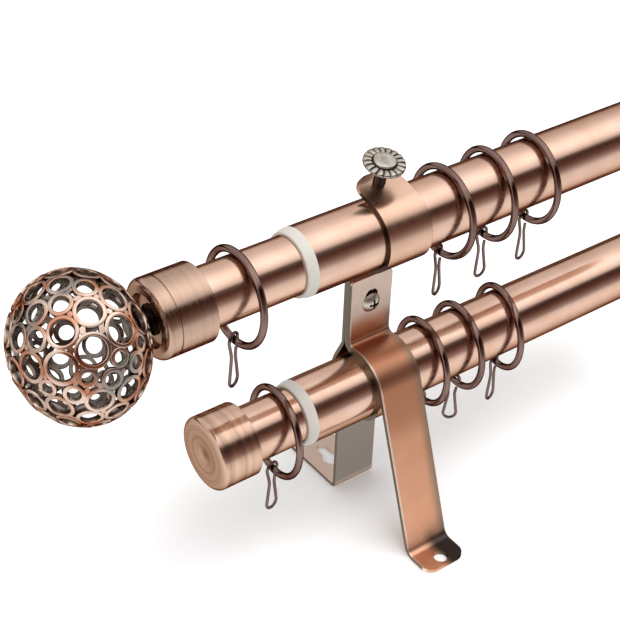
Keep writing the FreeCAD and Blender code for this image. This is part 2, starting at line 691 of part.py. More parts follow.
def ring_place(x, axis_z, tube_r, tilt):
    """Centre of a ring that hangs on the top of its tube, tilted along it."""
    middle_r = RING_OUTSIDE_R - RING_WIRE_R
    top = axis_z + tube_r + HANG_GAP + RING_WIRE_R
    return vec(x, 0, top - middle_r * math.cos(math.radians(tilt)))


def ring(centre, yaw, tilt):
    made = Part.makeTorus(RING_OUTSIDE_R - RING_WIRE_R, RING_WIRE_R, vec(0, 0, 0), X_AXIS)
    made.rotate(vec(0, 0, 0), Y_AXIS, tilt)
    made.rotate(vec(0, 0, 0), Z_AXIS, yaw)
    made.translate(centre)
    return made


def ring_bottom(centre, yaw, tilt):
    """Middle of a ring's wire at its lowest point, from which its hook hangs."""
    aside, down = turned_to(tilt - 90, RING_OUTSIDE_R - RING_WIRE_R)
    along, across = turned_to(yaw, -aside)
    return centre + vec(along, across, down)


def hook():
    """One wire: an eye round the ring, two legs with a soft waist and a rounded end."""
    eye_r = HOOK_EYE_INSIDE_R + HOOK_WIRE_R
    eye_down = HOOK_EYE_INSIDE_R - RING_WIRE_R - HANG_GAP
    eye = (0, -eye_down)
    bulb = (0, -HOOK_LENGTH + HOOK_BULB_R)
    neck = (-HOOK_NECK_HALF, -HOOK_NECK_DROP)
    lead = math.degrees(math.atan2(neck[1] - eye[1], neck[0] - eye[0]))
    leave = lead - math.degrees(math.acos(eye_r / math.dist(neck, eye)))
    flank = math.degrees(math.atan2(neck[1] - bulb[1], neck[0] - bulb[0]))
    spread = math.degrees(math.acos(HOOK_BULB_R / math.dist(neck, bulb)))
    left = flank + spread
    right = 180 - left
    tip = (HOOK_TIP_OUT, -HOOK_TIP_DROP)
    pieces = [wrap_arc(eye, eye_r, HOOK_EYE_STARTS_AT, leave + FULL_TURN),
              corner_arc(add(eye, turned_to(leave, eye_r)), neck, add(bulb, turned_to(left, HOOK_BULB_R)),
                         HOOK_NECK_BEND_R),
              wrap_arc(bulb, HOOK_BULB_R, left, right + FULL_TURN),
              corner_arc(add(bulb, turned_to(right, HOOK_BULB_R)), (-neck[0], neck[1]), tip,
                         HOOK_NECK_BEND_R),
              tip]
    edges = edges_through(pieces, lambda p: vec(p[0], 0, p[1]))
    start = edges[0].valueAt(edges[0].FirstParameter)
    along = edges[0].tangentAt(edges[0].FirstParameter)
    section = Part.Wire([Part.Circle(start, along, HOOK_WIRE_R).toShape()])
    return Part.Wire(edges).makePipeShell([section], True, True)


def hung_hook(bottom, yaw, lean):
    """A hook that hangs from a ring's lowest point, turned and leaning along the pole."""
    made = hook()
    made.rotate(vec(0, 0, 0), Y_AXIS, -lean)
    made.rotate(vec(0, 0, 0), Z_AXIS, yaw)
    made.translate(bottom)
    return made


def rings_and_hooks():
    places = [("upper_end", UPPER_INNER_RING_X, UPPER_AXIS_Z, INNER_R)]
    places += [("upper_%d" % (i + 1), x, UPPER_AXIS_Z, OUTER_R) for i, x in enumerate(UPPER_RINGS_X)]
    places += [("lower_end", LOWER_INNER_RING_X, LOWER_AXIS_Z, INNER_R)]
    places += [("lower_%d" % (i + 1), x, LOWER_AXIS_Z, OUTER_R) for i, x in enumerate(LOWER_RINGS_X)]
    turns = zip(RING_YAWS, RING_TILTS, HOOK_YAWS, HOOK_LEANS)
    made = {}
    for (name, x, axis_z, tube_r), (yaw, tilt, hook_yaw, lean) in zip(places, turns):
        centre = ring_place(x, axis_z, tube_r, tilt)
        made["ring_" + name] = ring(centre, yaw, tilt)
        made["hook_" + name] = hung_hook(ring_bottom(centre, yaw, tilt), hook_yaw, lean)
    return made


def build():
    made = {
        "main_arm": main_arm(),
        "brace": brace(),
        "retaining_strip": retaining_strip(),
        "joint_screw": joint_screw(),
        "joint_nut": joint_nut(),
        "thumbscrew": thumbscrew(),
        "upper_outer_tube": tube(UPPER_TUBE_LEFT, TUBE_RIGHT, OUTER_R, OUTER_WALL, UPPER_AXIS_Z),
        "lower_outer_tube": tube(LOWER_TUBE_LEFT, TUBE_RIGHT, OUTER_R, OUTER_WALL, LOWER_AXIS_Z),
        "upper_collar": collar(UPPER_TUBE_LEFT, UPPER_AXIS_Z),
        "lower_collar": collar(LOWER_TUBE_LEFT, LOWER_AXIS_Z),
        "finial_cup": finial_cup(),
        "finial_neck": finial_neck(),
        "finial_ball": finial_ball(),
        "finial_screw": finial_screw(),
        "end_cap": end_cap(),
    }
    upper_floor = UPPER_CUP_RIGHT - CUP_LENGTH + CUP_RECESS_DEPTH + CUP_FLOOR
    lower_floor = LOWER_CAP_RIGHT - CAP_LENGTH + CUP_FLOOR
    made["upper_inner_tube"] = tube(upper_floor, UPPER_TUBE_LEFT + INNER_HIDDEN, INNER_R,
                                    INNER_WALL, UPPER_AXIS_Z)
    made["lower_inner_tube"] = tube(lower_floor, LOWER_TUBE_LEFT + INNER_HIDDEN, INNER_R,
                                    INNER_WALL, LOWER_AXIS_Z)
    made.update(rings_and_hooks())
    for shape in made.values():
        shape.translate(-Y_AXIS * KEYHOLE_ROUND_Y)
    return made


os.makedirs("parts", exist_ok=True)
for node, shape in build().items():
    print(node, len(shape.Solids), shape.isValid(), round(shape.Volume, 1))
    shape.exportStep("parts/%s.step" % node)
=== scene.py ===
"""Looks of a double telescopic curtain pole in brushed copper plate, with its rings and hooks.

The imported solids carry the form. This scene gives them their finishes, draws the cage ball with
round rings and webs, and cuts the thumbscrew's thread and petals. Names that end in _mm hold
millimetres, all other lengths are metres, and both are in the frame of the solids.
"""
import itertools
import json
import logging
import math
from dataclasses import dataclass
from enum import Enum

import bpy
import numpy as np
from mathutils import Matrix, Vector


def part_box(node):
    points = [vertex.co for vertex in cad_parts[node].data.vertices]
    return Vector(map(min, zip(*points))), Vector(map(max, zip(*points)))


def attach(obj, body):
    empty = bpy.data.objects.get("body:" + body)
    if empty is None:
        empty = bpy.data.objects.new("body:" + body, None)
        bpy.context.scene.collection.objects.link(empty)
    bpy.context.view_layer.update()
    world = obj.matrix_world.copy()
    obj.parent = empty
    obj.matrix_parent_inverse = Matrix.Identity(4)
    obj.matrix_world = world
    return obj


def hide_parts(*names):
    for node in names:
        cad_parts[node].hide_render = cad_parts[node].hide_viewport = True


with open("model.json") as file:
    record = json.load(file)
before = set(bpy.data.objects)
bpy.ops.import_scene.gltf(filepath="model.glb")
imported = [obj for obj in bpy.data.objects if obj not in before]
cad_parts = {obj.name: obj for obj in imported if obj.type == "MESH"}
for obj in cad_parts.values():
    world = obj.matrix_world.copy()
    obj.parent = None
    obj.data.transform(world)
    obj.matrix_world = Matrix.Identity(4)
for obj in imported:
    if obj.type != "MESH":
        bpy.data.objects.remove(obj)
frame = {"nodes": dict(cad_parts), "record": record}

MM = 0.001
LOG = logging.getLogger("curtain_pole")
# Levels of Blender's noise between which a patch of colour, and a fine mark, goes from none to full.
PATCH_NOISE = (0.35, 0.65)
MARK_NOISE = (0.3, 0.7)
MARK_HEIGHT = 0.2 * MM


def linear(hex_colour: str) -> tuple[float, float, float, float]:
    """Turn an sRGB hex colour into linear RGBA.

    Each channel c is c / 12.92 below 0.04045, and ((c + 0.055) / 1.055) ** 2.4 above.

    Args:
        hex_colour: six hex digits after a hash sign.

    Returns:
        Linear red, green and blue, and an alpha of 1.
    """
    channels = [int(hex_colour[i:i + 2], 16) / 255 for i in (1, 3, 5)]
    low = [c / 12.92 if c <= 0.04045 else ((c + 0.055) / 1.055) ** 2.4 for c in channels]
    return (low[0], low[1], low[2], 1.0)


def add_node(tree: bpy.types.NodeTree, kind: str, settings: dict | None = None,
             inputs: dict | None = None) -> bpy.types.Node:
    """Add a shader node with its settings, and set or link its inputs.

    Args:
        tree: the node tree that gets the node.
        kind: the node's type name.
        settings: attributes of the node itself.
        inputs: socket name or index to a value, or to the output socket to link.

    Returns:
        The new node.
    """
    node = tree.nodes.new(kind)
    for name, value in (settings or {}).items():
        setattr(node, name, value)
    for key, value in (inputs or {}).items():
        if isinstance(value, bpy.types.NodeSocket):
            tree.links.new(value, node.inputs[key])
        else:
            node.inputs[key].default_value = value
    return node


def new_material(name: str) -> tuple[bpy.types.Material, bpy.types.NodeTree, bpy.types.Node]:
    """Make a material with nodes.

    Args:
        name: the finish's name.

    Returns:
        The material, its node tree and its Principled shader.
    """
    made = bpy.data.materials.new(name)
    made.use_nodes = True
    return made, made.node_tree, made.node_tree.nodes["Principled BSDF"]


def patched(tree: bpy.types.NodeTree, place: bpy.types.NodeSocket, size_mm: float,
            under: bpy.types.NodeSocket | tuple, over: tuple,
            noise_range: tuple[float, float]) -> bpy.types.NodeSocket:
    """Lay soft patches of one colour over another, where a noise rises through a range.

    Args:
        tree: the material's node tree.
        place: Object coordinates.
        size_mm: how far apart the patches are.
        under: the colour between the patches.
        over: the patches' colour.
        noise_range: noise at which a patch begins, and at which it is full.

    Returns:
        The patched colour.
    """
    noise = add_node(tree, "ShaderNodeTexNoise",
                     inputs={"Vector": place, "Scale": 1 / (size_mm * MM), "Detail": 2.0})
    tone = add_node(tree, "ShaderNodeMapRange",
                    inputs={"Value": noise.outputs["Fac"], "From Min": noise_range[0],
                            "From Max": noise_range[1]})
    mixed = add_node(tree, "ShaderNodeMix", {"data_type": "RGBA"},
                     {"Factor": tone.outputs["Result"], "A": under, "B": over})
    return mixed.outputs["Result"]


def keep_creases(made: bpy.types.Object, degrees: float) -> None:
    """Stop smooth shading at edges that turn by more than an angle."""
    crease = made.modifiers.new("crease", "EDGE_SPLIT")
    crease.split_angle = math.radians(degrees)


def mesh_object(name: str, points: np.ndarray, faces: list | np.ndarray,
                smooth: bool = True) -> bpy.types.Object:
    """Make a mesh object at the origin from points in metres.

    Args:
        name: the piece's name.
        points: array of points, one row each.
        faces: rows of point numbers, where a number given twice makes a smaller face.
        smooth: whether the faces are shaded smooth.

    Returns:
        The object, linked to the scene.
    """
    mesh = bpy.data.meshes.new(name)
    mesh.from_pydata(points.tolist(), [], [list(dict.fromkeys(map(int, f))) for f in faces])
    mesh.polygons.foreach_set("use_smooth", np.full(len(mesh.polygons), smooth))
    mesh.update()
    made = bpy.data.objects.new(name, mesh)
    bpy.context.scene.collection.objects.link(made)
    return made


class Pattern(Enum):
    """How a metal's surface was finished: its fine marks to the metre along X, Y and Z.

    Real marks are too fine to show at this size and would turn to noise, so all are drawn coarser.
    """

    # Brushed along the tube: lines about 170 mm long and 1.4 mm apart, for real ones 0.1 mm apart.
    BRUSHED_ALONG = (6.0, 700.0, 700.0)
    # Turned in a lathe: rings 0.9 mm apart, for real ones 0.2 mm apart.
    TURNED = (1100.0, 10.0, 10.0)
    # Tumbled or plated over: soft unevenness 4 mm across with no direction.
    SATIN = (260.0, 260.0, 260.0)


@dataclass(frozen=True)
class Zone:
    """Part of a strip with its own colour, full where every limit is passed.

    A limit is an axis, the place on it in millimetres where the colour begins, and where it is full.
    """

    colour: str
    limits: tuple[tuple[str, float, float], ...]


@dataclass(frozen=True)
class Metal:
    """A plated metal: its colour varies a little in patches and its gloss along fine marks.

    The roughness varies by marks to each side, bump is the strength of the marks' relief, and
    rim_tint is the metal's colour where it is seen at a grazing angle.
    """

    name: str
    colour: str
    patch: str
    roughness: float
    pattern: Pattern
    marks: float = 0.05
    patch_mm: float = 14.0
    bump: float = 0.04
    rim_tint: str = "#5a3526"
    zones: tuple[Zone, ...] = ()

    def build(self) -> bpy.types.Material:
        """Make the material.

        Returns:
            The material, metallic throughout.
        """
        made, tree, shader = new_material(self.name)
        place = add_node(tree, "ShaderNodeTexCoord").outputs["Object"]
        grain = self.grain_place(tree, place)
        result = patched(tree, grain, self.patch_mm, linear(self.colour), linear(self.patch), PATCH_NOISE)
        for zone in self.zones:
            result = self.zoned(tree, place, result, zone)
        tree.links.new(result, shader.inputs["Base Color"])
        stretched = add_node(tree, "ShaderNodeMapping", {"vector_type": "POINT"},
                             {"Vector": grain, "Scale": self.pattern.value})
        marks = add_node(tree, "ShaderNodeTexNoise",
                         inputs={"Vector": stretched.outputs["Vector"], "Scale": 1.0, "Detail": 3.0})
        gloss = add_node(tree, "ShaderNodeMapRange",
                         inputs={"Value": marks.outputs["Fac"],
                                 "From Min": MARK_NOISE[0], "From Max": MARK_NOISE[1],
                                 "To Min": self.roughness - self.marks,
                                 "To Max": self.roughness + self.marks})
        tree.links.new(gloss.outputs["Result"], shader.inputs["Roughness"])
        lift = add_node(tree, "ShaderNodeBump",
                        inputs={"Height": marks.outputs["Fac"], "Distance": MARK_HEIGHT,
                                "Strength": self.bump})
        tree.links.new(lift.outputs["Normal"], shader.inputs["Normal"])
        shader.inputs["Metallic"].default_value = 1.0
        shader.inputs["Specular Tint"].default_value = linear(self.rim_tint)
        return made

    def grain_place(self, tree: bpy.types.NodeTree, place: bpy.types.NodeSocket) -> bpy.types.NodeSocket:
        """Coordinates that the fine marks follow: a flat or brushed piece keeps its own."""
        return place

    def zoned(self, tree: bpy.types.NodeTree, place: bpy.types.NodeSocket,
              under: bpy.types.NodeSocket, zone: Zone) -> bpy.types.NodeSocket:
        """Lay a zone's colour over another.

        Args:
            tree: the material's node tree.
            place: Object coordinates.
            under: the colour outside the zone.
            zone: the zone.

        Returns:
            The colour with the zone.
        """
        parts = add_node(tree, "ShaderNodeSeparateXYZ", inputs={"Vector": place})
        share = None
        for axis, begins, full in zone.limits:
            ramp = add_node(tree, "ShaderNodeMapRange", {"interpolation_type": "SMOOTHSTEP"},
                            {"Value": parts.outputs[axis], "From Min": begins * MM, "From Max": full * MM})
            passed = ramp.outputs["Result"]
            if share is not None:
                passed = add_node(tree, "ShaderNodeMath", {"operation": "MULTIPLY"},
                                  {0: share, 1: passed}).outputs[0]
            share = passed
        mixed = add_node(tree, "ShaderNodeMix", {"data_type": "RGBA"},
                         {"Factor": share, "A": under, "B": linear(zone.colour)})
        return mixed.outputs["Result"]


@dataclass(frozen=True)
class TurnedMetal(Metal):
    """A plated metal turned in a lathe: its marks run round an axis, on the sides and the face."""

    axis_mm: tuple[float, float] = (0.0, 0.0)

    def grain_place(self, tree: bpy.types.NodeTree, place: bpy.types.NodeSocket) -> bpy.types.NodeSocket:
        """Put the distance along the axis plus the distance from it in place of X.

        Args:
            tree: the material's node tree.
            place: Object coordinates.

        Returns:
            Coordinates whose X is the same all along one turn of the lathe.
        """
        parts = add_node(tree, "ShaderNodeSeparateXYZ", inputs={"Vector": place})
        aside = add_node(tree, "ShaderNodeMath", {"operation": "SUBTRACT"},
                         {0: parts.outputs["Y"], 1: self.axis_mm[0] * MM})
        above = add_node(tree, "ShaderNodeMath", {"operation": "SUBTRACT"},
                         {0: parts.outputs["Z"], 1: self.axis_mm[1] * MM})
        flat = add_node(tree, "ShaderNodeCombineXYZ",
                        inputs={"Y": aside.outputs[0], "Z": above.outputs[0]})
        out = add_node(tree, "ShaderNodeVectorMath", {"operation": "LENGTH"},
                       {0: flat.outputs["Vector"]})
        turn = add_node(tree, "ShaderNodeMath", {"operation": "ADD"},
                        {0: parts.outputs["X"], 1: out.outputs["Value"]})
        return add_node(tree, "ShaderNodeCombineXYZ", inputs={"X": turn.outputs[0]}).outputs["Vector"]


@dataclass(frozen=True)
class GroovedMetal(Metal):
    """A cast screw's metal: rubbed bright on its crowns, dark with patina in its grooves, and with painted
    shade on its shank and under its disc.
    """

    # Colour and attribute of the dark patina in the grooves and of the painted shade on the shank and
    # under the disc.
    deep: str = "#3d2a23"
    patina_and_shade_name: str = "depth"

    def build(self) -> bpy.types.Material:
        """Make the material, and darken it by the mesh's attribute of patina in the grooves and painted
        shade on the shank and under the disc.

        Returns:
            The material.
        """
        made = super().build()
        tree = made.node_tree
        shader = tree.nodes["Principled BSDF"]
        depth = add_node(tree, "ShaderNodeAttribute", {"attribute_name": self.patina_and_shade_name})
        mixed = add_node(tree, "ShaderNodeMix", {"data_type": "RGBA"},
                         {"Factor": depth.outputs["Fac"],
                          "A": shader.inputs["Base Color"].links[0].from_socket, "B": linear(self.deep)})
        tree.links.new(mixed.outputs["Result"], shader.inputs["Base Color"])
        return made


@dataclass(frozen=True)
class AntiquedCast:
    """Cast metal with plating rubbed bright on its outside and left dark inside.

    Patches of a second copper colour and of grey lie over the bright one.
    """

    name: str
    bright: str
    patch: str
    grey: str
    dark: str
    centre_mm: tuple[float, float, float]
    radii_mm: tuple[float, float, float]
    # Share of the way from the centre to the skin where the rubbed plating ends and the dark begins.
    bright_from: float = 0.972
    dark_below: float = 0.96
    patch_mm: float = 12.0
    patch_noise: tuple[float, float] = (0.42, 0.6)
    grey_mm: float = 17.0
    grey_noise: tuple[float, float] = (0.55, 0.66)
    roughness: float = 0.24
    rim_tint: str = "#54453d"

    def build(self) -> bpy.types.Material:
        """Make the material, dark wherever it is nearer the ball's centre than its skin.

        Returns:
            The material.
        """
        made, tree, shader = new_material(self.name)
        place = add_node(tree, "ShaderNodeTexCoord").outputs["Object"]
        scale = tuple(1 / (r * MM) for r in self.radii_mm)
        shift = tuple(-c / r for c, r in zip(self.centre_mm, self.radii_mm))
        unit = add_node(tree, "ShaderNodeMapping", {"vector_type": "POINT"},
                        {"Vector": place, "Scale": scale, "Location": shift})
        size = add_node(tree, "ShaderNodeVectorMath", {"operation": "LENGTH"},
                        {0: unit.outputs["Vector"]})
        skin = add_node(tree, "ShaderNodeMapRange",
                        inputs={"Value": size.outputs["Value"], "From Min": self.dark_below,
                                "From Max": self.bright_from})
        plated = patched(tree, place, self.patch_mm, linear(self.bright), linear(self.patch),
                         self.patch_noise)
        plated = patched(tree, place, self.grey_mm, plated, linear(self.grey), self.grey_noise)
        mixed = add_node(tree, "ShaderNodeMix", {"data_type": "RGBA"},
                         {"Factor": skin.outputs["Result"], "A": linear(self.dark), "B": plated})
        tree.links.new(mixed.outputs["Result"], shader.inputs["Base Color"])
        shader.inputs["Metallic"].default_value = 1.0
        shader.inputs["Roughness"].default_value = self.roughness
        shader.inputs["Specular Tint"].default_value = linear(self.rim_tint)
        return made


@dataclass(frozen=True)
class Nylon:
    """Moulded natural nylon: milky, softly shining, a little light passes into it."""

    name: str
    colour: str
    roughness: float = 0.42
    ior: float = 1.53
    milkiness: float = 0.25
    depth_mm: float = 1.5

    def build(self) -> bpy.types.Material:
        """Make the material.

        Returns:
            The material.
        """
        made, _, shader = new_material(self.name)
        shader.inputs["Base Color"].default_value = linear(self.colour)
        shader.inputs["Roughness"].default_value = self.roughness
        shader.inputs["IOR"].default_value = self.ior
        shader.inputs["Subsurface Weight"].default_value = self.milkiness
        shader.inputs["Subsurface Scale"].default_value = self.depth_mm * MM
        return made


# Copper plate on steel tube, brushed along its length: a pale peach metal with soft long streaks.
BRUSHED_COPPER = Metal("copper_plate_brushed_along", "#e6c2ae", "#dfb8a2", 0.2,
                       Pattern.BRUSHED_ALONG)
# The strips' sheared edges are grey steel under thin plate.
SHEARED = (Zone("#857d72", (("X", 10.38, 10.46),)), Zone("#857d72", (("X", -10.38, -10.46),)))
# Copper plate on the bent arm: polished above, with painted shade below the lower pole (dull grey,
# and a lighter brownish grey on the wall plate), and with a browner sheared edge on the clamp.
ARM_COPPER = Metal("copper_plate_on_polished_strip", "#e3bca5", "#dab29a", 0.25, Pattern.SATIN,
                   marks=0.03, bump=0.015, patch_mm=26.0,
                   # Painted shade: dull grey below the lower pole, a lighter brownish grey on the wall
                   # plate.
                   zones=(Zone("#968d84", (("Z", 58.0, 48.0),)),
                          Zone("#c4ac9d", (("Z", 4.5, 1.8),))) + SHEARED
                   + (Zone("#5f5148", (("X", -10.38, -10.46), ("Z", 116.0, 122.0))),))
# Copper plate on the front strip: redder and satin where it wraps the pole, pale and greyer at
# its slotted top, with a painted highlight as a bright line inside its left edge, darker along its
# right edge and darkest at the foot's tip.
STRIP_COPPER = Metal("copper_plate_on_satin_strip", "#efb795", "#e6ab8a", 0.4, Pattern.SATIN,
                     marks=0.03, bump=0.02, patch_mm=26.0,
                     zones=(Zone("#cb9070", (("Z", 46.0, 60.0),)),
                            # Painted highlight: a bright line inside the left edge.
                            Zone("#f6dccb", (("X", -9.3, -9.9),)),
                            Zone("#a78a75", (("X", 5.0, 10.2),)),
                            Zone("#4a4340", (("X", -3.5, 3.5), ("Y", -63.0, -69.0))),
                            Zone("#d3beb0", (("Z", 90.0, 99.0),))) + SHEARED)
# Dark antique bronze plate on wire: nearly black brown with a bright line of light.
BRONZE_RING = Metal("antique_bronze_plate_on_rings", "#8e746c", "#7a625a", 0.12, Pattern.SATIN,
                    marks=0.03, rim_tint="#3a241d")
BRONZE_WIRE = Metal("antique_bronze_plate_on_wire", "#83706a", "#705c54", 0.18, Pattern.SATIN,
                    marks=0.03, rim_tint="#3a241d")
# Bright nickel on the small screws and the nut.
BRIGHT_NICKEL = Metal("bright_nickel_plate", "#cfcac2", "#bdb7ae", 0.2, Pattern.SATIN,
                      rim_tint="#6a6560")
# Natural nylon bushes in the mouths of the large tubes.
MILKY_NYLON = Nylon("natural_nylon_moulded", "#cdc7bf")

# The ball's and the thumbscrew's slots aren't here: their new pieces bring their own finish.
FINISH_OF_SLOT = {
    "brushed_copper_tube": BRUSHED_COPPER,
    "copper_plated_strip": ARM_COPPER,
    "antique_bronze_ring": BRONZE_RING,
    "antique_bronze_wire": BRONZE_WIRE,
    "white_nylon": MILKY_NYLON,
    "nickel_screw": BRIGHT_NICKEL,
}


def axis_of(node: str) -> tuple[float, float]:
    """Read the Y and Z of a round piece's axis, in millimetres, from the middle of its box."""
    low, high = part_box(node)
    return ((low[1] + high[1]) / 2 / MM, (low[2] + high[2]) / 2 / MM)


def joint_row(name: str) -> dict:
    """Find a joint's row in the frame's record by its name."""
    return next(j for j in frame["record"]["behaviour"]["joints"] if j["name"] == name)


def recess_shade_zones() -> tuple[Zone, ...]:
    """Mark the two arms of the cross recess in the joint screw's head, dark with painted shade.

    Returns:
        A zone for each arm, by its half width and half height about the head's middle.
    """
    low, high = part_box("joint_screw")
    level = (low[2] + high[2]) / 2 / MM
    reach, half, soft = 2.2, 0.45, 0.06
    return tuple(Zone("#2b2622", (("X", -wide - soft, -wide), ("X", wide + soft, wide),
                                  ("Z", level - tall - soft, level - tall),
                                  ("Z", level + tall + soft, level + tall)))
                 for wide, tall in ((reach, half), (half, reach)))


def finish_of_node() -> dict[str, Metal]:
    """Finishes of the pieces that differ from the rest of their slot or need their own axis.

    Returns:
        Node name to finish.
    """
    return {
        "brace": STRIP_COPPER,
        # Antique copper plate on the cast neck, darkened with painted shade.
        "finial_neck": Metal("antique_copper_with_painted_shade_on_cast_neck", "#5d524b", "#4a403a", 0.3, Pattern.SATIN,
                             rim_tint="#3a241d"),
        # Copper plate on turned metal: fine rings from the lathe, duller than the tubes.
        "finial_cup": TurnedMetal("copper_plate_turned_cup", "#cbab97", "#bea08d", 0.2, Pattern.TURNED,
                                  marks=0.08, bump=0.2, patch_mm=3.0, axis_mm=axis_of("finial_cup")),
        "end_cap": TurnedMetal("copper_plate_turned_cap", "#e6bfa6", "#bf9e8c", 0.2, Pattern.TURNED,
                               marks=0.08, bump=0.2, patch_mm=3.0, axis_mm=axis_of("end_cap")),
        # Nickel plate on the joint's screw, brighter than the rest, its cross recess filled with painted
        # shade.
        "joint_screw": Metal("bright_nickel_plate_on_joint_screw", "#dedacd", "#cfcabc", 0.4,
                             Pattern.SATIN, rim_tint="#6a6560", zones=recess_shade_zones()),
    }


@dataclass
class DressedSolids:
    """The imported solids, each with its slot's finish and shaded smooth across its curves."""

    weld_mm: float = 0.001
    crease_deg: float = 28.0

    def dress(self) -> None:
        """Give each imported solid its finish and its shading."""
        slots = {row["node"]: row["material_slot"] for row in frame["record"]["subparts"]}
        made = {slot: finish.build() for slot, finish in FINISH_OF_SLOT.items()}
        own = {name: finish.build() for name, finish in finish_of_node().items()}
        for name, node in frame["nodes"].items():
            material = own.get(name) or made.get(slots[name])
            if material is None:
                # The ball and the thumbscrew: their new pieces take these solids' place.
                continue
            node.data.materials.clear()
            node.data.materials.append(material)
            self.shade(node)
            LOG.info("%s: %s", name, material.name)

    def shade(self, node: bpy.types.Object) -> None:
        """Shade a solid smooth, with its creases kept.

        Args:
            node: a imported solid.
        """
        node.data.polygons.foreach_set("use_smooth", np.ones(len(node.data.polygons), bool))
        weld = node.modifiers.new("weld", "WELD")
        weld.merge_threshold = self.weld_mm * MM
        keep_creases(node, self.crease_deg)


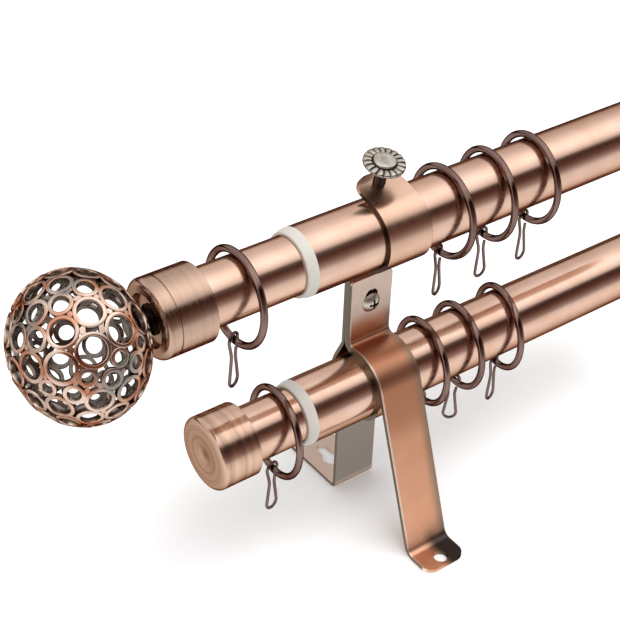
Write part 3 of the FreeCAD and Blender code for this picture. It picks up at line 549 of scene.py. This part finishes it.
@dataclass
class CageBall:
    """Openwork finial ball: cast flat rings of several sizes that touch each other all round.

    Ring i takes size i times size_step from sizes_mm, in turn. Each ring is band_mm wide and laps
    its neighbours by lap_mm, so that they join. Of the three-cornered gaps whose rings stand
    within web_reach_mm of each other, web_kept out of every web_of are closed by a web.
    """

    across_r_mm: float = 28.3
    half_length_mm: float = 24.8
    wall_mm: float = 2.0
    band_mm: float = 1.3
    lap_mm: float = 0.26
    rings: int = 92
    sizes_mm: tuple[float, ...] = (6.3, 4.4, 5.3, 3.3, 5.8, 4.8, 3.8)
    size_step: int = 3
    plate_r_mm: float = 7.4
    plate_bore_mm: float = 2.45
    nose_ring_r_mm: float = 5.6
    pole_margin: float = 0.07
    relax_steps: int = 220
    push: float = 0.35
    round_mm: float = 0.3
    ring_sides: int = 40
    skin_drop_mm: float = 0.28
    web_reach_mm: float = 2.0
    web_of: int = 5
    web_kept: int = 3
    web_below_mm: float = 0.25
    web_under_band: float = 0.8
    crease_deg: float = 40.0
    # A direction that none of the rings faces, to start each ring's turn from.
    sideways: tuple[float, float, float] = (0.3, 0.5, 0.8)

    def centre(self) -> np.ndarray:
        """Find the ball's centre from its solid's left end and the upper pole's axis.

        Returns:
            The centre in millimetres.
        """
        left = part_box("finial_ball")[0][0] / MM
        middle = left + self.half_length_mm - self.sink(self.nose_ring_r_mm)
        return np.array([middle, *axis_of("upper_outer_tube")])

    def sink(self, radius: float) -> float:
        """How far a flat ring lies below the ball's skin: its radius squared over twice the ball's."""
        return radius * radius / (2 * self.across_r_mm)

    def places(self) -> tuple[np.ndarray, np.ndarray, np.ndarray]:
        """Spread the rings over the ball until none lap.

        The rings start on a golden-angle spiral. At each step two rings that lap are pushed
        apart along the line between them, and put back on the ellipsoid.

        Returns:
            Centres, outward normals and outer radii, in millimetres from the ball's centre.
        """
        half = np.array([self.half_length_mm, self.across_r_mm, self.across_r_mm])
        index = np.arange(self.rings)
        height = (1 - self.pole_margin) * (1 - 2 * (index + 0.5) / self.rings)
        across = np.sqrt(1 - height ** 2)
        turn = index * math.pi * (3 - math.sqrt(5))
        spiral = np.stack([height, across * np.cos(turn), across * np.sin(turn)], 1)
        poles = np.array([[self.half_length_mm, 0, 0], [-self.half_length_mm, 0, 0]])
        centres = np.vstack([poles, spiral / np.linalg.norm(spiral / half, axis=1)[:, None]])
        sizes = np.array(self.sizes_mm)[index * self.size_step % len(self.sizes_mm)]
        radii = np.concatenate([[self.plate_r_mm, self.nose_ring_r_mm], sizes])
        for _ in range(self.relax_steps):
            apart = centres[:, None] - centres[None, :]
            # A ring counts as far from itself, so that it doesn't push itself.
            distance = np.linalg.norm(apart, axis=2) + np.eye(len(centres)) * 1e3
            gap = np.minimum(distance - radii[:, None] - radii[None, :], 0)
            move = (-self.push * gap / distance)[:, :, None] * apart
            moved = centres + move.sum(1)
            moved /= np.linalg.norm(moved / half, axis=1)[:, None]
            moved[:2] = centres[:2]
            centres = moved
        normals = centres / half ** 2
        normals /= np.linalg.norm(normals, axis=1)[:, None]
        return centres, normals, radii

    def on_skin(self, points: np.ndarray, below: np.ndarray) -> np.ndarray:
        """Move points along their lines from the centre until they lie a depth below the ball's skin.

        Args:
            points: points in millimetres from the ball's centre.
            below: depth of each under the skin.

        Returns:
            The points on the smaller ellipsoids.
        """
        half = np.array([self.half_length_mm, self.across_r_mm, self.across_r_mm]) - self.skin_drop_mm
        at = points / np.linalg.norm(points / half, axis=-1, keepdims=True)
        return at * (1 - below[..., None] / np.linalg.norm(at, axis=-1, keepdims=True))

    def webs(self, centres: np.ndarray, radii: np.ndarray) -> tuple[np.ndarray, np.ndarray]:
        """Plates that close some of the three-cornered gaps between rings.

        A plate spans the centres of three rings that all lie close, on the skin and again a wall
        below it, so that only the gap between the rings shows it.

        Args:
            centres: the rings' centres.
            radii: the rings' outer radii.

        Returns:
            Points, and the faces as rows of point numbers.
        """
        apart = np.linalg.norm(centres[:, None] - centres[None, :], axis=2)
        close = apart < (radii[:, None] + radii[None, :]) + self.web_reach_mm
        trios = [t for t in itertools.combinations(range(len(centres)), 3)
                 if close[t[0], t[1]] and close[t[1], t[2]] and close[t[0], t[2]]]
        trios = np.array(trios)[np.arange(len(trios)) % self.web_of < self.web_kept]
        corners = centres[trios]
        middle = corners.mean(1, keepdims=True)
        inward = corners - middle
        reach = np.linalg.norm(inward, axis=2, keepdims=True)
        near = middle + inward / reach * (reach - radii[trios][..., None]
                                            + self.band_mm * self.web_under_band)
        between = (np.roll(near, -1, 1) + near) / 2
        around = 2 * near.shape[1]
        ring = np.stack([near, between], 2).reshape(len(trios), around, 3)
        fan = np.concatenate([middle, ring], 1)
        turned = np.einsum("ij,ij->i", np.cross(ring[:, 0] - middle[:, 0], ring[:, 2] - middle[:, 0]),
                           middle[:, 0]) < 0
        fan[turned, 1:] = fan[turned, 1:][:, ::-1]
        front = self.on_skin(fan, np.full(fan.shape[:2], self.web_below_mm))
        back = self.on_skin(fan, np.full(fan.shape[:2], self.wall_mm - self.web_below_mm))
        top = np.arange(len(fan))[:, None] * 2 * (around + 1)
        low = top + around + 1
        a = np.arange(1, around + 1)
        b = np.roll(a, -1)
        tops = np.stack([top + 0 * a, top + a, top + b, top + b], 2)
        backs = np.stack([low + 0 * a, low + b, low + a, low + a], 2)
        sides = np.stack([top + a, low + a, low + b, top + b], 2)
        points = np.concatenate([front, back], 1).reshape(-1, 3)
        return points, np.concatenate([tops, backs, sides], 1).reshape(-1, 4)

    def profile(self, inner: float, outer: float) -> np.ndarray:
        """Section of a flat ring with rounded front edges, as radius and height below its face.

        Args:
            inner: the hole's radius.
            outer: the ring's outer radius.

        Returns:
            Points in order round the section.
        """
        r = self.round_mm
        quarter = np.radians(np.linspace(0, 90, 4))
        inside = np.stack([inner + r - r * np.cos(quarter), -r + r * np.sin(quarter)], 1)
        outside = np.stack([outer - r + r * np.sin(quarter), -r + r * np.cos(quarter)], 1)
        back = np.array([[outer, -self.wall_mm], [inner, -self.wall_mm]])
        return np.vstack([inside, outside, back])

    def build(self) -> bpy.types.Object:
        """Build the ball in one mesh, each ring a section carried round its own normal.

        A ring's points are centre + u r cos t + v r sin t, with r from the section, moved to the
        section's depth below the skin.

        Returns:
            The ball's object.
        """
        centres, normals, radii = self.places()
        points, faces, count = [], [], 0
        turn = np.linspace(0, 2 * math.pi, self.ring_sides, endpoint=False)
        for i, (c, n, radius) in enumerate(zip(centres, normals, radii)):
            inner = self.plate_bore_mm if i == 0 else radius - self.band_mm
            section = self.profile(inner, radius + self.lap_mm)
            u = np.cross(n, self.sideways)
            u /= np.linalg.norm(u)
            v = np.cross(n, u)
            around = np.cos(turn)[:, None, None] * u + np.sin(turn)[:, None, None] * v
            ring = self.on_skin(c + around * section[None, :, :1],
                                np.broadcast_to(-section[None, :, 1], (self.ring_sides, len(section))))
            points.append(ring.reshape(-1, 3))
            a = np.arange(self.ring_sides)[:, None] * len(section)
            b = np.roll(a, -1, 0)
            j = np.arange(len(section))[None, :]
            k = np.roll(j, -1, 1)
            faces.append(np.stack([a + j, b + j, b + k, a + k], 2).reshape(-1, 4)[:, ::-1] + count)
            count += len(points[-1])
        web_points, web_faces = self.webs(centres, radii)
        points.append(web_points)
        faces.append(web_faces + count)
        made = mesh_object("cage_ball", (np.vstack(points) + self.centre()) * MM, np.vstack(faces))
        keep_creases(made, self.crease_deg)
        return made

    def dress(self) -> None:
        """Put the ball in place of its solid, with its finish."""
        ball = self.build()
        # Cast zinc with antique copper plate, rubbed bright outside and dark in the holes.
        finish = AntiquedCast("antique_copper_on_cast_zinc", "#e6cbba", "#bd8468", "#9d948c", "#8d827a",
                              tuple(self.centre()),
                              (self.half_length_mm, self.across_r_mm, self.across_r_mm))
        ball.data.materials.append(finish.build())
        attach(ball, "upper_slider")
        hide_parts("finial_ball")
        LOG.info("cage ball: %d rings, %d faces", self.rings + 2, len(ball.data.polygons))


@dataclass
class PetalledThumbscrew:
    """Cast thumbscrew: a disc with petals round a plain boss, on a shank with a rolled thread.

    The lines between petals are groove_mm deep on top and draw in the rim by scallop_mm. The
    thread is drawn thread_mm deep. A tone of 1 is darkest: the tone is dark patina in the grooves
    and the thread, and painted shade on the shank and under the disc.
    """

    petals: int = 18
    steps_per_petal: int = 8
    groove_mm: float = 0.55
    scallop_mm: float = 0.1
    shank_r_mm: float = 2.5
    pitch_mm: float = 0.9
    thread_mm: float = 0.24
    steps_per_turn: int = 6
    reach_mm: float = 9.6
    tip_gap_mm: float = 0.3
    # Painted shade on the shank, which stands under the disc.
    shank_painted_shade: float = 0.8
    groove_tone: float = 1.1
    crease_deg: float = 50.0
    # Radius, height above the disc's underside, share of the petals' wave, and depth of tone: patina in
    # the groove round the boss, painted shade on the underside.
    head: tuple[tuple[float, float, float, float], ...] = (
        (2.6, 0.0, 0.0, 0.9), (6.6, 0.05, 0.0, 0.5), (8.1, 0.3, 0.0, 0.3), (8.5, 0.65, 0.2, 0.1),
        (8.55, 1.1, 0.4, 0.0), (8.5, 1.5, 0.6, 0.0), (8.3, 1.8, 0.8, 0.0), (7.9, 2.02, 1.0, 0.0),
        (7.2, 2.14, 1.0, 0.0), (6.4, 2.18, 1.0, 0.0), (5.6, 2.12, 1.0, 0.0), (5.1, 1.98, 0.8, 0.1),
        (4.9, 1.7, 0.3, 0.8), (4.72, 1.62, 0.0, 1.0), (4.62, 1.8, 0.0, 0.8), (4.55, 2.45, 0.0, 0.2),
        (4.4, 2.66, 0.0, 0.0), (4.1, 2.76, 0.0, 0.0), (2.4, 2.72, 0.0, 0.0), (0.0, 2.7, 0.0, 0.0))

    def grid(self, tip_mm: float) -> tuple[np.ndarray, np.ndarray, np.ndarray]:
        """Work out radius, height and depth of tone over the turn and the stations; the tone is patina in
        the grooves and painted shade on the shank and under the disc.

        On the shank the radius is its own less the thread's depth times a triangle wave of height
        over pitch less turn. On the disc the petals' wave is the square root of |cos(n t / 2)|,
        which lowers the top and draws in the rim between two petals.

        Args:
            tip_mm: how far the tip lies below the disc's underside.

        Returns:
            Radius, height and depth, stations by turns.
        """
        turn = np.linspace(0, 2 * math.pi, self.petals * self.steps_per_petal, endpoint=False)
        count = int(tip_mm / self.pitch_mm * self.steps_per_turn)
        z = np.linspace(-tip_mm + self.thread_mm * 2, 0, count)[:, None]
        saw = (z / self.pitch_mm - turn / (2 * math.pi)) % 1
        cut = self.thread_mm * np.abs(2 * saw - 1)
        shank = np.stack([self.shank_r_mm - cut, z + 0 * cut,
                          self.shank_painted_shade + cut / self.thread_mm * (1 - self.shank_painted_shade)], 0)
        tip = np.array([[0, -tip_mm, 1], [self.shank_r_mm - 2 * self.thread_mm, -tip_mm, 1]])
        tip = np.broadcast_to(tip.T[:, :, None], (3, 2, len(turn)))
        r, height, share, tone = (column[:, None] for column in np.array(self.head).T)
        low = 1 - np.sqrt(np.abs(np.cos(self.petals * turn / 2)))[None, :]
        head = np.stack([r - self.scallop_mm * low * (share > 0), height - self.groove_mm * low * share,
                         np.clip(tone + low * share * self.groove_tone, 0, 1)], 0)
        return tuple(np.concatenate([tip, shank, head], 1))

    def build(self) -> bpy.types.Object:
        """Build the screw in one closed mesh about its joint's axis.

        Returns:
            The screw's object.
        """
        joint = joint_row("thumbscrew_turn")
        hole = np.array(joint["pos_m"]) / MM
        out = np.array(joint["axis"]) / np.linalg.norm(joint["axis"])
        across = np.array([1.0, 0.0, 0.0])
        aside = np.cross(out, across)
        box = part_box("upper_outer_tube")
        tube_r = (box[1][1] - box[0][1]) / 2 / MM
        foot = hole - np.array([hole[0], *axis_of("upper_outer_tube")])
        side = np.linalg.norm(np.cross(foot, out))
        # The tip stops a little short of the pole, whose skin is this far out along the screw's line.
        top = math.sqrt(tube_r ** 2 - max(0.0, side - self.shank_r_mm) ** 2)
        # The tone that comes back is patina in the grooves and painted shade on the shank and under the
        # disc.
        radius, height, depth = self.grid(self.reach_mm - (top + self.tip_gap_mm - foot @ out))
        stations, turns = radius.shape
        t = np.linspace(0, 2 * math.pi, turns, endpoint=False)[None, :, None]
        points = (hole + (np.cos(t) * across + np.sin(t) * aside) * radius[..., None]
                  + out * (self.reach_mm + height)[..., None])
        number = np.arange(stations * turns).reshape(stations, turns)
        number[0], number[-1] = number[0, 0], number[-1, 0]
        a, b = number[:-1], number[1:]
        faces = np.stack([a, np.roll(a, -1, 1), np.roll(b, -1, 1), b], 2).reshape(-1, 4)
        used, compact = np.unique(faces, return_inverse=True)
        made = mesh_object("petalled_thumbscrew", points.reshape(-1, 3)[used] * MM,
                           compact.reshape(-1, 4))
        tone = made.data.attributes.new(GroovedMetal.patina_and_shade_name, "FLOAT", "POINT")
        tone.data.foreach_set("value", depth.ravel()[used])
        keep_creases(made, self.crease_deg)
        return made

    def dress(self) -> None:
        """Put the screw in place of its solid, with its finish."""
        screw = self.build()
        # Cast zinc with antique nickel: silver petals, nearly black with patina in the grooves and with
        # painted shade on the shank and under the disc.
        finish = GroovedMetal("antique_nickel_on_cast_zinc", "#c3bcb1", "#a79e91", 0.22, Pattern.SATIN,
                              patch_mm=3.0, marks=0.06, bump=0.1, rim_tint="#57504a")
        screw.data.materials.append(finish.build())
        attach(screw, "thumbscrew")
        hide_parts("thumbscrew")
        LOG.info("petalled thumbscrew: %d faces", len(screw.data.polygons))


@dataclass
class Studio:
    """Pale floor, soft light and the tent of cloth that the copper mirrors.

    The surroundings light the object at light_level, and show as white to the camera. The floor
    keeps the object's shadow near the bracket; further out, painted light that only the camera sees
    washes the shadow out.
    """

    floor_colour: str = "#fafafa"
    floor_size: float = 6.0
    floor_z: float = -0.0002
    light_level: float = 0.75
    lamp_at: tuple[float, float, float] = (0.1, -0.35, 1.3)
    lamp_aim: tuple[float, float, float] = (0.0, 0.0, 0.1)
    lamp_size: tuple[float, float] = (1.4, 0.8)
    lamp_watts: float = 11.5
    tent_centre: tuple[float, float] = (-0.0265, 0.105)
    tent_r: float = 1.4
    tent_ends: tuple[float, float] = (-3.0, 4.0)
    tent_steps: int = 190
    tent_warm: str = "#ffa68c"
    tent_warm_below: float = 0.5
    # Degrees above the near horizon and brightness there.
    tent_levels: tuple[tuple[float, float], ...] = (
        (-4.0, 0.42), (3.0, 0.32), (12.0, 0.2), (20.0, 0.125), (30.0, 0.06), (38.0, 0.045), (43.0, 0.055),
        (48.0, 0.65), (53.0, 0.95), (58.0, 1.15), (66.0, 1.42), (82.0, 1.64), (97.0, 1.42), (116.0, 1.03),
        (138.0, 0.82), (161.0, 0.95), (168.0, 0.85), (171.0, 0.12), (184.0, 0.1))
    # Distance from the centre below and the painted light added to the floor there for the camera, which
    # washes out the shadow away from the bracket.
    painted_light_centre: tuple[float, float] = (0.04, -0.03)
    painted_light_levels: tuple[tuple[float, float], ...] = (
        (0.0, 0.04), (0.08, 0.07), (0.2, 0.24), (0.6, 0.4), (1.0, 0.6))
    # Distance down from under the poles and brightness of the painted glow that stands for the floor in
    # the metals' reflections.
    mirrored_floor_glow: tuple[tuple[float, float], ...] = (
        (0.0, 0.9), (0.05, 1.15), (0.12, 1.2), (0.25, 1.02), (0.66, 0.76), (0.95, 0.56), (1.34, 0.42))

    def floor(self) -> None:
        """Lay the pale floor, with painted light that shows it plain white to the camera away from the
        bracket, and a painted glow in its place in the metals' reflections.
        """
        half, z = self.floor_size / 2, self.floor_z
        corners = np.array([[-half, -half, z], [half, -half, z], [half, half, z], [-half, half, z]])
        made = mesh_object("studio_floor", corners, [[0, 1, 2, 3]], smooth=False)
        paper, tree, shader = new_material("white_paper_sweep")
        shader.inputs["Base Color"].default_value = linear(self.floor_colour)
        shader.inputs["Roughness"].default_value = 0.9
        shader.inputs["Specular IOR Level"].default_value = 0.1
        self.paint_floor_light(tree, shader)
        made.data.materials.append(paper)

    def levels(self, tree: bpy.types.NodeTree, distance: bpy.types.NodeSocket,
               rows: tuple[tuple[float, float], ...]) -> bpy.types.NodeSocket:
        """Read a level off a list of distances and levels.

        Args:
            tree: the floor's node tree.
            distance: the distance in metres.
            rows: distances in metres and the level at each, from zero up.

        Returns:
            The level, as a grey.
        """
        reach = rows[-1][0]
        share = add_node(tree, "ShaderNodeMapRange", inputs={"Value": distance, "From Max": reach})
        ramp = add_node(tree, "ShaderNodeValToRGB", inputs={"Fac": share.outputs["Result"]})
        stops = ramp.color_ramp.elements
        while len(stops) < len(rows):
            stops.new(0.5)
        for stop, (at, level) in zip(stops, rows):
            stop.position = at / reach
            stop.color = (level, level, level, 1)
        return ramp.outputs["Color"]

    def paint_floor_light(self, tree: bpy.types.NodeTree, shader: bpy.types.Node) -> None:
        """Paint light on the floor for the camera away from the bracket, and put in the metals'
        reflections a painted glow in its place that dims with distance.

        Args:
            tree: the floor's node tree.
            shader: its own shader, which still takes the object's shadow.
        """
        path = add_node(tree, "ShaderNodeLightPath")
        place = add_node(tree, "ShaderNodeTexCoord").outputs["Object"]
        out = add_node(tree, "ShaderNodeVectorMath", {"operation": "DISTANCE"},
                       {0: place, 1: (*self.painted_light_centre, 0.0)})
        shader.inputs["Emission Strength"].default_value = 1.0
        lift = add_node(tree, "ShaderNodeMix", {"data_type": "RGBA"},
                        {"Factor": path.outputs["Is Camera Ray"], "A": (0, 0, 0, 1),
                         "B": self.levels(tree, out.outputs["Value"], self.painted_light_levels)})
        tree.links.new(lift.outputs["Result"], shader.inputs["Emission Color"])
        parts = add_node(tree, "ShaderNodeSeparateXYZ", inputs={"Vector": place})
        away = add_node(tree, "ShaderNodeMath", {"operation": "SUBTRACT"},
                        {0: self.tent_centre[0], 1: parts.outputs["Y"]})
        glow = add_node(tree, "ShaderNodeEmission",
                        inputs={"Color": self.levels(tree, away.outputs[0], self.mirrored_floor_glow)})
        mixed = add_node(tree, "ShaderNodeMixShader",
                         inputs={0: path.outputs["Is Glossy Ray"], 1: shader.outputs["BSDF"],
                                 2: glow.outputs["Emission"]})
        tree.links.new(mixed.outputs["Shader"], tree.nodes["Material Output"].inputs["Surface"])

    def world(self) -> None:
        """Make the surroundings white to the eye and in reflections, and soft for light."""
        world = bpy.data.worlds.new("studio")
        bpy.context.scene.world = world
        world.use_nodes = True
        tree = world.node_tree
        tree.nodes.clear()
        path = add_node(tree, "ShaderNodeLightPath")
        seen = add_node(tree, "ShaderNodeMath", {"operation": "MAXIMUM"},
                        {0: path.outputs["Is Camera Ray"], 1: path.outputs["Is Transmission Ray"]})
        bright = add_node(tree, "ShaderNodeMath", {"operation": "MAXIMUM"},
                          {0: seen.outputs[0], 1: path.outputs["Is Glossy Ray"]})
        level = add_node(tree, "ShaderNodeMapRange",
                         inputs={"Value": bright.outputs[0], "To Min": self.light_level, "To Max": 1.0})
        light = add_node(tree, "ShaderNodeBackground",
                         inputs={"Color": (1, 1, 1, 1), "Strength": level.outputs["Result"]})
        add_node(tree, "ShaderNodeOutputWorld", inputs={"Surface": light.outputs["Background"]})

    def lamp(self) -> None:
        """Hang the one soft lamp, which reflections don't show."""
        data = bpy.data.lights.new("overhead_softbox", "AREA")
        data.shape = "RECTANGLE"
        data.size, data.size_y = self.lamp_size
        data.energy = self.lamp_watts
        lamp = bpy.data.objects.new("overhead_softbox", data)
        lamp.location = self.lamp_at
        down = Vector(self.lamp_aim) - Vector(self.lamp_at)
        lamp.rotation_euler = down.to_track_quat("-Z", "Y").to_euler()
        bpy.context.scene.collection.objects.link(lamp)
        lamp.visible_glossy = False

    def tent(self) -> None:
        """Put up the tent that only reflections show, a half tube of cloth round the poles' direction.

        A point of the tent is (x, y0 - R cos e, z0 + R sin e) for the angle e above the near
        horizon, and its brightness is read off the list of angles and levels. Where it is dimmer
        than tent_warm_below, it turns from white to the brown of the room behind it.
        """
        angles, levels = np.array(self.tent_levels).T
        e = np.linspace(angles[0], angles[-1], self.tent_steps)
        x = np.array(self.tent_ends)
        turn = np.radians(e)[:, None]
        y0, z0 = self.tent_centre
        grid = np.stack([np.broadcast_to(x, (len(e), 2)),
                         np.broadcast_to(y0 - self.tent_r * np.cos(turn), (len(e), 2)),
                         np.broadcast_to(z0 + self.tent_r * np.sin(turn), (len(e), 2))], 2)
        a = np.arange(len(e) - 1)[:, None] * 2
        made = mesh_object("reflection_tent", grid.reshape(-1, 3), np.hstack([a, a + 1, a + 3, a + 2]))
        level = np.interp(e, angles, levels)[:, None]
        shade = np.clip((self.tent_warm_below - level) / self.tent_warm_below, 0, 1)
        warm = 1 - shade * (1 - np.array(linear(self.tent_warm)[:3]))
        rgba = np.hstack([level * warm, np.ones_like(level)])
        glow = made.data.attributes.new("glow", "FLOAT_COLOR", "POINT")
        glow.data.foreach_set("color", np.repeat(rgba, 2, axis=0).ravel())
        cloth, tree, _ = new_material("tent_cloth")
        tree.nodes.clear()
        cloth_colour = add_node(tree, "ShaderNodeAttribute", {"attribute_name": "glow"})
        light = add_node(tree, "ShaderNodeEmission", inputs={"Color": cloth_colour.outputs["Color"]})
        add_node(tree, "ShaderNodeOutputMaterial", inputs={"Surface": light.outputs["Emission"]})
        made.data.materials.append(cloth)
        made.visible_camera = False
        made.visible_diffuse = False
        made.visible_shadow = False
        made.visible_transmission = False

    def build(self) -> None:
        """Set up the floor, the world, the lamp and the tent."""
        self.floor()
        self.world()
        self.lamp()
        self.tent()
        bpy.context.scene.view_settings.view_transform = "Standard"
        LOG.info("studio set")


@dataclass
class PhotoCamera:
    """The photograph's viewpoint: a place, a turn, a tilt, a roll and a focal length."""

    place_mm: tuple[float, float, float] = (-313.48, -384.79, 445.93)
    azimuth_deg: float = -37.74
    elevation_deg: float = 36.07
    roll_deg: float = 2.04
    focal_px: float = 1445.16
    image_px: float = 620.0
    sensor_mm: float = 36.0
    clip: tuple[float, float] = (0.05, 50.0)

    def build(self) -> None:
        """Make the camera and give it to the scene."""
        az, el, roll = (math.radians(a) for a in (self.azimuth_deg, self.elevation_deg, self.roll_deg))
        forward = Vector((-math.sin(az) * math.cos(el), math.cos(az) * math.cos(el), -math.sin(el)))
        right = Vector((math.cos(az), math.sin(az), 0))
        up = right.cross(forward)
        across = right * math.cos(roll) + up * math.sin(roll)
        rise = up * math.cos(roll) - right * math.sin(roll)
        data = bpy.data.cameras.new("photo_camera")
        data.sensor_width = self.sensor_mm
        data.lens = self.focal_px * self.sensor_mm / self.image_px
        data.clip_start, data.clip_end = self.clip
        camera = bpy.data.objects.new("photo_camera", data)
        turn = Matrix((across, rise, -forward)).transposed().to_4x4()
        camera.matrix_world = Matrix.Translation(Vector(self.place_mm) * MM) @ turn
        bpy.context.scene.collection.objects.link(camera)
        bpy.context.scene.camera = camera
        LOG.info("camera at %s mm", self.place_mm)


def main() -> None:
    """Build the scene piece by piece."""
    logging.basicConfig(level=logging.INFO, format="%(name)s: %(message)s")
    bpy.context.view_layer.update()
    DressedSolids().dress()
    CageBall().dress()
    PetalledThumbscrew().dress()
    Studio().build()
    PhotoCamera().build()


if __name__ == "__main__":
    main()
